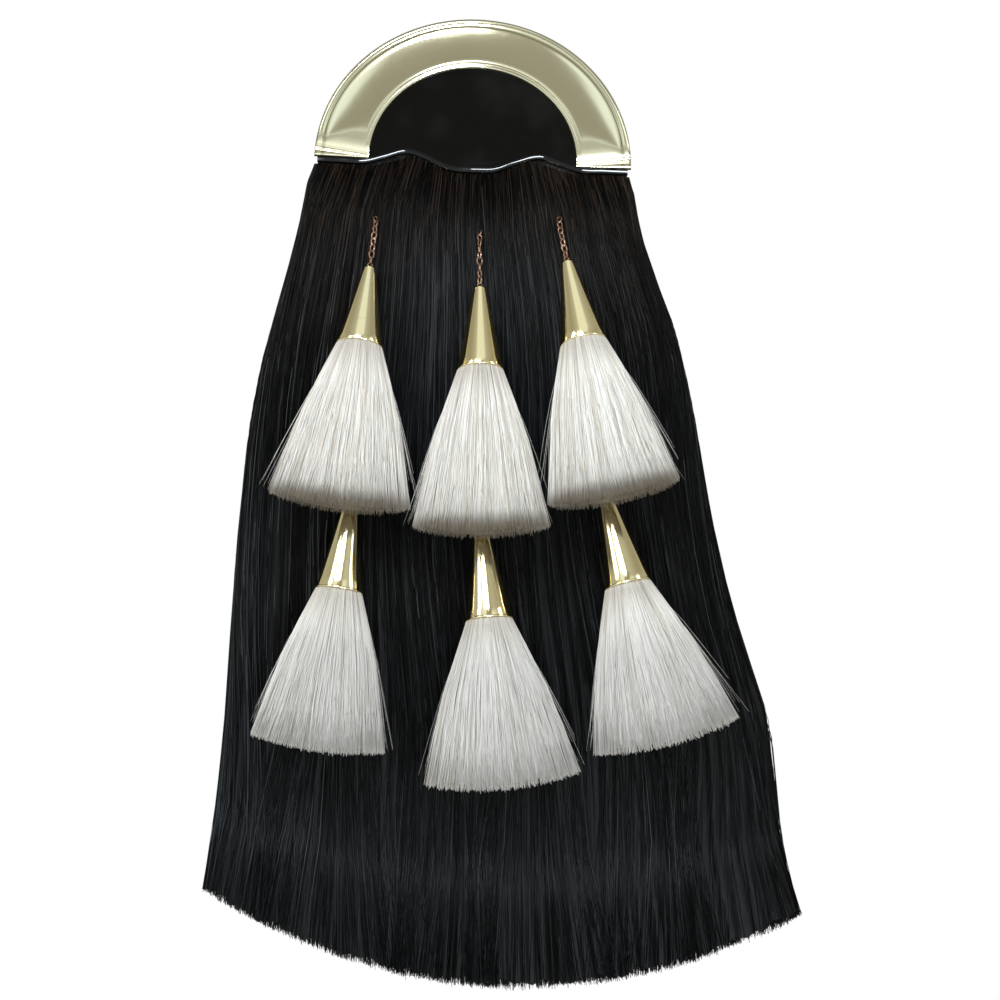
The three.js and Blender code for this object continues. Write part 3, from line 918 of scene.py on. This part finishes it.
def hair_strands(name, around, finish, steps=10, wild=0.01):
    """Strands that leave the roots at shares around the form and gather into locks on the way down.
    Strands at the edge of a lock lie deeper, so the locks read as locks."""
    count = len(around)
    at_root = look_up(FORM, around, np.full(count, down_at(-9.0)))
    at_base = look_up(FORM, around, np.full(count, down_at(-112.0)))
    front = at_root[:, 1] < -28.5
    behind = (~front) & (np.abs(at_base[:, 0]) < BOARD["side"])
    round_bottom = BOARD["shoulder"] - BOARD["bottom"] * np.sqrt(
        np.clip(1 - (at_base[:, 0] / BOARD["side"]) ** 2, 0, 1)
    )
    start = np.where(front, wave(np.clip(at_root[:, 0], -77, 77)) - 0.4, -3.5)
    start = np.where(behind, round_bottom - 1.0, start)
    first = down_at(start)
    late = dice.random(count) < 0.22
    first = np.where(late & front, first + dice.random(count) * 0.25, first)
    last = 1.001 - 0.0020 * dice.exponential(1.0, count) + 0.0010 * dice.standard_normal(count)
    last = last + 0.0035 * np.sin(around * 190) * np.sin(around * 67 + 1)
    last = np.where(dice.random(count) < 0.12, last - 0.2 * dice.random(count), last)
    step = np.linspace(0, 1, steps) ** (1.2 + 0.5 * dice.random(count)[:, None])
    down = first[:, None] + (np.clip(last, 0.5, 1.012) - first)[:, None] * step

    locks = 150
    lock = np.clip(np.floor(around * locks + 0.35 * np.sin(around * 410)), 0, locks).astype(int)
    heart = (lock + 0.5 + 0.3 * dice.standard_normal(locks + 2)[lock]) / locks
    pull = (0.25 + 0.5 * dice.random(locks + 2)[lock])[:, None] * np.clip(down, 0, 1) ** 1.6
    turns = down * (0.5 + 1.3 * dice.random(count)[:, None]) + dice.random(count)[:, None]
    drift = 0.0034 * np.sin(2 * np.pi * turns) * dice.random(count)[:, None]
    sweep = np.sin(5.2 * down + 37 * around[:, None])
    sweep = sweep + 0.7 * np.sin(8.5 * down - 71 * around[:, None] + 1.3)
    lean = dice.standard_normal(locks + 2)[lock][:, None]
    own = dice.standard_normal(count)[:, None]
    cross = np.sin(2.2 * down + 6.3 * dice.random(count)[:, None])
    sway = 0.011 * sweep * down**2 + (0.010 * lean + 0.010 * own) * down**2.5 + 0.0035 * own * cross
    moved = around[:, None] + (heart - around)[:, None] * pull + (drift + sway) * np.clip(down * 3, 0, 1)
    off_centre = np.abs(around - heart)[:, None] * locks
    sunk = 2.6 * dice.random(count)[:, None] ** 1.3 + 1.6 * off_centre * np.clip(down * 2, 0, 1)
    sunk = sunk + 0.35 * np.sin(2 * np.pi * (3.1 * down + dice.random(count)[:, None]))
    sunk = sunk + 1.1 * dice.random(locks + 2)[lock][:, None] * np.clip(down * 2, 0, 1)
    loose = (dice.random(count) < wild)[:, None]
    sunk = np.where(loose, -1.4 * down * dice.random(count)[:, None], sunk)
    sunk = np.maximum(sunk, 0.5 * (np.abs(look_up(OUTWARD, moved, down)[..., 0]) > 0.5))
    paths = on_form(moved, down, sunk)
    over = np.clip(down, 1.0, None) - 1.0
    paths[..., 2] -= over * (HAIR["z"][0] - HAIR["z"][-1])
    rooted = np.clip((start[:, None] - paths[..., 2]) / ROOT_RUN, 0, 1)
    rooted = rooted * rooted * (3 - 2 * rooted)
    root_depth = ROOT_DEPTH - 2.3 * dice.random(count)[:, None]
    blended = root_depth * (1 - rooted) + paths[..., 1] * rooted
    paths[..., 1] = np.where(front[:, None] & ~late[:, None], blended, paths[..., 1])
    paths = part_hair(paths)
    wide = 0.17 + 0.17 * dice.random(count)[:, None] ** 2
    radius = wide * (1 - 0.35 * step**8) * np.where(late[:, None], np.clip(0.2 + step * 8, 0, 1), 1)
    points, skin = tubes(paths, radius, 3)
    column = dice.integers(0, TONES, count)
    add_piece(name, points, [skin], [finish], "hair_skirt",
              uv=chart_places(column, np.clip(down, 0, 1), 3))


def hair_body(finish, columns=150, rows=70):
    """The mass of hair under the strands: a front face with a fine relief of locks, and a back that
    steps forward over the pouch."""
    across = np.sin(np.linspace(-1, 1, columns) * np.pi / 2)[None, :] * 0.9985
    down = np.linspace(0, 1, rows)[:, None] ** 0.9
    top = wave(76 * across) - 2.0
    end = HAIR["z"][-1] + 2.0 + 1.1 * np.sin(across * 97) + 0.9 * np.sin(across * 41 + 1)
    level = top + (end - top) * down
    row = hair_rows(level)
    half = (row["right"] - row["left"]) / 2 - 2.0
    round_off = (1 - np.abs(across) ** row["square"]) ** (1 / row["square"])
    thick = np.maximum((row["back"] - row["front"]) / 2 - 1.9, 0.5)
    middle = (row["front"] + row["back"]) / 2
    x = (row["left"] + row["right"]) / 2 + across * half
    z = level + row["lift"] * across**2
    front = middle - np.maximum(round_off * thick, 0.3)
    back = middle + np.maximum(round_off * thick, 0.3)
    rooted = np.clip((top - level) / ROOT_RUN, 0, 1)
    rooted = rooted * rooted * (3 - 2 * rooted)
    front = (ROOT_DEPTH - 1.0) * (1 - rooted) + front * rooted
    grooves = 0.5 * np.sin(across * 130 + 3 * down) + 0.35 * np.sin(across * 211 - 5 * down + 1)
    front = front + grooves * np.clip(down * 3, 0, 1) * np.clip(thick / 8, 0, 1)
    lean = np.clip(z / BOARD["shoulder"], 0, 1)
    edge = BOARD["half"] + (BOARD["side"] - BOARD["half"]) * lean
    fall = np.sqrt(np.clip(1 - (x / BOARD["side"]) ** 2, 0, 1))
    bottom = BOARD["shoulder"] - BOARD["bottom"] * fall
    over_pouch = (np.abs(x) < edge + 0.6) & ((z > BOARD["shoulder"]) | (z > bottom - 0.6))
    back = np.where(over_pouch, np.minimum(FRONT - 0.3, back), back)
    front = np.minimum(front, back - 0.5)
    face = part_hair(np.stack([x, front, z], -1))
    rear = np.stack([x, back, z], -1)
    points, skin = shell(face, rear)
    share = np.broadcast_to(np.linspace(0.01, 0.49, columns), x.shape)
    place = np.stack([share, np.broadcast_to(0.02 + 0.96 * down, x.shape)], -1).reshape(-1, 2)
    add_piece("horsehair_body", points, [skin], [finish], "hair_skirt",
              uv=np.concatenate([place, place + (0.5, 0)]), crease=60)


black_hair = black_finish()
hair_body(mass_finish())
hair_strands("horsehair_front_left", 0.245 + 0.262 * dice.random(2300), black_hair)
hair_strands("horsehair_front_right", 0.493 + 0.262 * dice.random(2300), black_hair)
hair_strands("horsehair_back", (0.745 + 0.51 * dice.random(2100)) % 1.0, black_hair)


# ---- Tassels ----
# Each hangs on a fine copper-brown chain: a cone spun from brass, with a rolled lip and a small
# hole at its crown, and white horsehair bound into it, which flares and is cut to one length.

LINK = {"pitch": 3.4, "half_long": 2.5, "half_wide": 1.8, "wire": 0.48, "around": 12, "sides": 5}
LIP = 12.0
CROWN = 3.2
# Tones past FRONT_TONES carry painted shade: a brown end for the far side's strands, and brown for the
# bundle's inside.
FRONT_TONES, OUTER_TONES = 44, 56  # columns for white strands, then white ones with a brown end


def node_points(name):
    """A CAD node's points in millimetres over the foot line."""
    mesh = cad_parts[name].data
    flat = np.empty(len(mesh.vertices) * 3)
    mesh.vertices.foreach_get("co", flat)
    return flat.reshape(-1, 3) / MM - (0, 0, FOOT_LINE)


def hang_of(name):
    """Where a tassel's cone starts, its direction and length, found from the cone's own axis, and
    the same for its hair, found from the far ring of the hair's form."""
    cone = np.unique(node_points("cone_" + name).round(3), axis=0)
    centre = cone.mean(0)
    axis = np.linalg.svd(cone - centre)[2][0]
    axis *= -np.sign(axis[2])
    run = (cone - centre) @ axis
    top, cone_long = centre + axis * run.min(), run.max() - run.min()
    lip = centre + axis * run.max()
    hair = np.unique(node_points("brush_" + name).round(3), axis=0)
    reach = (hair - lip) @ axis
    end = hair[reach > reach.max() - 10]
    end_centre = (end.max(0) + end.min(0)) / 2
    way = (end_centre - lip) / np.linalg.norm(end_centre - lip)
    aside = np.array([-axis[2], 0, axis[0]])
    aside /= np.linalg.norm(aside)
    spread = ((end - end_centre) @ aside).max()
    return {
        "top": top, "axis": axis, "cone": cone_long, "lip": lip, "way": way, "aside": aside,
        "hair": np.linalg.norm(end_centre - lip), "spread": spread,
    }


def turned_profile(start, axis, aside, profile, count):
    """A lathe: rows of (distance along the axis, radius) swept round it."""
    out = np.cross(axis, aside)
    turn = np.linspace(0, 2 * np.pi, count, endpoint=False)
    circle = aside * np.cos(turn)[:, None] + out * np.sin(turn)[:, None]
    return start + profile[:, 0, None, None] * axis + profile[:, 1, None, None] * circle


def cone_piece(name, hang, brass):
    """Down the outside from the hole in the crown, round the rolled lip, and up the inside."""
    long = hang["cone"]
    flank = np.linspace(0.03, 0.965, 14)
    bow = 0.12 * np.sin(np.pi * flank)
    outside = np.stack([flank * long, CROWN + (LIP - 0.25 - CROWN) * flank - bow], 1)
    crown = np.array([[0.9, 0.9], [0.15, 0.95], [0.0, 1.3], [0.0, CROWN - 0.75], [0.25, CROWN - 0.2]])
    turn = np.linspace(-0.55, 0.95, 9) * np.pi
    lip = np.stack([long - 0.55 + 0.55 * np.sin(turn), LIP - 0.55 + 0.55 * np.cos(turn)], 1)
    inside = [[long * 0.9, LIP - 2.1], [long * 0.5, LIP * 0.62 - 1.2], [4.0, CROWN - 0.9], [1.7, 0.9]]
    profile = np.concatenate([crown, outside, lip, inside])
    rings = turned_profile(hang["top"], hang["axis"], hang["aside"], profile, 64)
    skin = [grid_faces(len(profile), 64, ring=True, tube=True)]
    add_piece("tassel_cone_" + name, rings, [skin], [brass], "cone_" + name, crease=50)


def chain_route(name, hang):
    """The chain's way down to its cone's crown: at each height, the middle of the points of its CAD
    form that lie near it."""
    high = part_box("chain_" + name)[1] / MM
    points = node_points("chain_" + name)
    spots = []
    for level in np.linspace(high.z - FOOT_LINE - 1.0, hang["top"][2] + 0.6, 30):
        near = np.abs(points[:, 2] - level) < 7
        spots.append(points[near].mean(0) if near.any() else hang["top"])
    path = np.array(spots)
    path[-1] = hang["top"] + hang["axis"] * 0.3
    return path


def chain_piece(name, hang, wire):
    """Oval links along the chain's way, each a quarter turn from the last."""
    path = chain_route(name, hang)
    length = np.concatenate([[0], np.cumsum(np.linalg.norm(np.diff(path, axis=0), axis=1))])
    count = int(length[-1] / LINK["pitch"])
    at = length[-1] - LINK["pitch"] * np.arange(count) - 0.5
    middle = np.stack([np.interp(at, length, path[:, k]) for k in range(3)], 1)
    ends = [[np.interp(at + reach, length, path[:, k]) for k in range(3)] for reach in (1.5, -1.5)]
    ahead = np.subtract(*ends).T
    ahead /= np.linalg.norm(ahead, axis=1, keepdims=True)
    aside = np.cross(ahead, (0.0, -1.0, 0.0))
    aside /= np.linalg.norm(aside, axis=1, keepdims=True)
    front = np.cross(aside, ahead)
    twist = np.pi * (0.22 + 0.5 * (np.arange(count) % 2)) + 0.25 * dice.standard_normal(count)
    flat = aside * np.cos(twist)[:, None] + front * np.sin(twist)[:, None]
    thick = np.cross(ahead, flat)
    turn = np.linspace(0, 2 * np.pi, LINK["around"], endpoint=False)
    oval = np.sign(np.sin(turn)) * np.abs(np.sin(turn)) ** 0.8
    centre = (
        middle[:, None]
        + ahead[:, None] * (oval * (LINK["half_long"] - LINK["wire"]))[None, :, None]
        + flat[:, None] * (np.cos(turn) * (LINK["half_wide"] - LINK["wire"]))[None, :, None]
    )
    spoke = centre - middle[:, None]
    spoke /= np.linalg.norm(spoke, axis=2, keepdims=True)
    ring = np.arange(LINK["sides"]) * 2 * np.pi / LINK["sides"]
    points = centre[:, :, None] + LINK["wire"] * (
        spoke[:, :, None] * np.cos(ring)[:, None] + thick[:, None, None] * np.sin(ring)[:, None]
    )
    each = grid_faces(LINK["around"], LINK["sides"], ring=True, tube=True)
    first = (np.arange(count) * LINK["around"] * LINK["sides"])[:, None, None]
    skin = [(each[None] + first).reshape(-1, 4)]
    add_piece("tassel_chain_" + name, points, [skin], [wire], "chain_" + name)


def tassel_section(hang, share, round_at):
    """A point of the hair's form. share runs from the lip (0) to the cut (1), and round_at holds the
    angle around and how far out from the middle. The form swells past the lip and spreads flat."""
    places = np.array([-0.15, 0.0, 0.03, 0.08, 0.25, 0.55, 1.0, 1.05])
    flare = hang["spread"] - 14
    wide = np.array([-6.0, -3.2, -1.4, -0.6, 0.25 * flare, 0.60 * flare, flare, flare + 1.6]) + 14
    deep = np.array([8.0, 10.8, 12.0, 12.4, 12.9, 13.0, 11.6, 11.4])
    half = smooth_curve(share, places, wide)
    thick = smooth_curve(share, places, deep)
    angle, far = round_at
    bend = np.clip(share / 0.12, 0, 1)[..., None]
    way = hang["axis"] * (1 - bend) + hang["way"] * bend
    middle = hang["lip"] + way * (share * hang["hair"])[..., None]
    out = np.cross(hang["way"], hang["aside"])
    across = (half * far * np.cos(angle))[..., None] * hang["aside"]
    return middle + across + (thick * far * np.sin(angle))[..., None] * out


def white_finish():
    """Warm white hair: a tone from straw and cream to white for each of the chart's columns, with
    painted
    shade: darker where it is bound under the lip, brown inside the bundle, brown at the cut ends of the
    far side and of the whole of an upper tassel, where the underside is shaded, and a little greyer on
    the lower tassels, which get less light."""
    hair = Finish("white_horsehair", roughness=0.5, specular_ior_level=0.35)
    stops = [
        (0.0, (0.58, 0.53, 0.44)),
        (0.25, (0.80, 0.77, 0.73)),
        (0.7, (0.91, 0.90, 0.88)),
        (1.0, (0.96, 0.955, 0.94)),
    ]
    across, down, _, white = read_chart(hair, stops)
    height = hair.part(hair.places(), 2)
    # Painted shade: the lower tassels are greyed as if they got less light.
    white = hair.mix(hair.spread(height, -0.235, -0.275, 0.0, 0.32), white, (0.50, 0.50, 0.51))
    # Painted shade: the hair darkens towards the lip of the cone.
    root = hair.mix(hair.spread(down, 0.26, 0.0, 0.0, 0.62), white, (0.42, 0.385, 0.33))
    # Painted shade: brown inside the bundle, and at the cut ends of the far side's strands.
    inside = across.math("GREATER_THAN", OUTER_TONES / TONES)
    rear = across.math("GREATER_THAN", FRONT_TONES / TONES) * hair.spread(down, 0.90, 0.97)
    # Painted shade: brown on the cut ends of the upper tassels, their shaded underside.
    ends = hair.spread(height, -0.235, -0.215) * hair.spread(down, 0.86, 0.98, 0.0, 0.92)
    brown = inside.math("MAXIMUM", rear).math("MAXIMUM", ends)
    hair.set("Base Color", hair.mix(brown, root, (0.20, 0.16, 0.11)))
    return hair


def tassel_hair(name, hang, finish, count=1560, steps=6):
    """A closed core, strands over and through it that fan from the lip, and a few strays."""
    angle = 2 * np.pi * dice.random(count)
    inner = dice.random(count) < 0.27
    far = np.where(inner, np.sqrt(dice.random(count)) * 0.93, 0.95 + 0.06 * dice.random(count))
    stray = (~inner) & (dice.random(count) < 0.09)
    wild = 0.03 + 0.32 * dice.random(count) ** 2.2
    far_end = far + np.where(stray, wild, 0.028 * dice.standard_normal(count))
    step = np.linspace(0, 1, steps) ** 1.35
    slant = (hang["spread"] - LIP) * np.cos(angle) * far / hang["hair"]
    near = np.clip(np.sin(angle), 0, 1) * far
    last = (1 - 0.5 * slant**2) * (1 + 0.007 * dice.standard_normal(count)) + 0.022 * near
    last = last - np.where(stray, 0.25, 0) * dice.random(count)
    first = np.where(inner, 0.6, -0.10)[:, None]
    share = first + (last[:, None] - first) * step
    out = far[:, None] + (far_end - far)[:, None] * np.clip(share, 0, 1) ** 1.5
    curl = 0.05 * np.sin(5 * share + 6 * dice.random(count)[:, None]) * np.clip(share, 0, 1)
    paths = tassel_section(hang, share, (angle[:, None] + curl, out))
    wide = np.where(stray, 0.075, 0.15 + 0.11 * dice.random(count))[:, None]
    points, strands = tubes(paths, wide * (1 - 0.3 * step**5) * np.ones_like(share), 3)
    # Far-side strands take columns with a painted shaded end, and inner ones the painted shade of the
    # inside.
    brown = dice.integers(FRONT_TONES, OUTER_TONES, count)
    column = np.where(np.sin(angle) < -0.35, brown, dice.integers(0, FRONT_TONES, count))
    column = np.where(inner & (np.sin(angle) < 0.2), dice.integers(OUTER_TONES, TONES, count), column)
    uv = chart_places(column, np.clip(share, 0, 1), 3)

    around = 96
    turn = np.linspace(0, 2 * np.pi, around, endpoint=False)[None, :]
    rows = np.concatenate([np.linspace(-0.14, 0.2, 10), np.linspace(0.25, 0.985, 12)])[:, None]
    edge = 1 - 0.5 * ((hang["spread"] - LIP) * np.cos(turn) / hang["hair"]) ** 2
    furrow = 0.90 + 0.012 * np.sin(turn * 23 + 2 * rows) + 0.010 * np.sin(turn * 37 - 3 * rows)
    core = tassel_section(hang, rows * np.where(rows > 0.2, edge, 1), (turn + 0 * rows, furrow))
    core, skin = close_ends(core.reshape(-1, 3), len(rows), around)
    column = turn / 2 / np.pi * FRONT_TONES / TONES
    core_uv = np.stack(np.broadcast_arrays(column, np.clip(rows, 0, 1) * 0.96 + 0.02), -1)
    middles = [[1 - 0.5 / TONES, 0.02], [1 - 0.5 / TONES, 0.98]]
    skins = [skin, [group + len(core) for group in strands]]
    add_piece("tassel_hair_" + name, np.concatenate([core, points]), skins, [finish],
              "brush_" + name, uv=np.concatenate([core_uv.reshape(-1, 2), middles, uv]))


def chain_wire():
    """Copper-brown wire, browned in the hollows and rubbed bright in places."""
    wire = Finish("chain_wire", metallic=1.0)
    worn = wire.spread(wire.noise(wire.places(), 520.0, 3.0), 0.45, 0.70)
    wire.set("Base Color", wire.mix(worn, (0.20, 0.115, 0.075), (0.60, 0.39, 0.28)))
    wire.set("Roughness", 0.42 - 0.14 * worn)
    return wire


cone_brass = polished("cone_brass", (0.86, 0.71, 0.37), (0.86, 0.80, 0.54), (0.48, 0.36, 0.20))
cone_brass.set("Specular Tint", (1.0, 0.84, 0.52))
wire = chain_wire()
white_hair = white_finish()
for tier in ("upper", "lower"):
    for place in ("left", "middle", "right"):
        hang = hang_of(tier + "_" + place)
        chain_piece(tier + "_" + place, hang, wire)
        cone_piece(tier + "_" + place, hang, cone_brass)
        tassel_hair(tier + "_" + place, hang, white_hair)
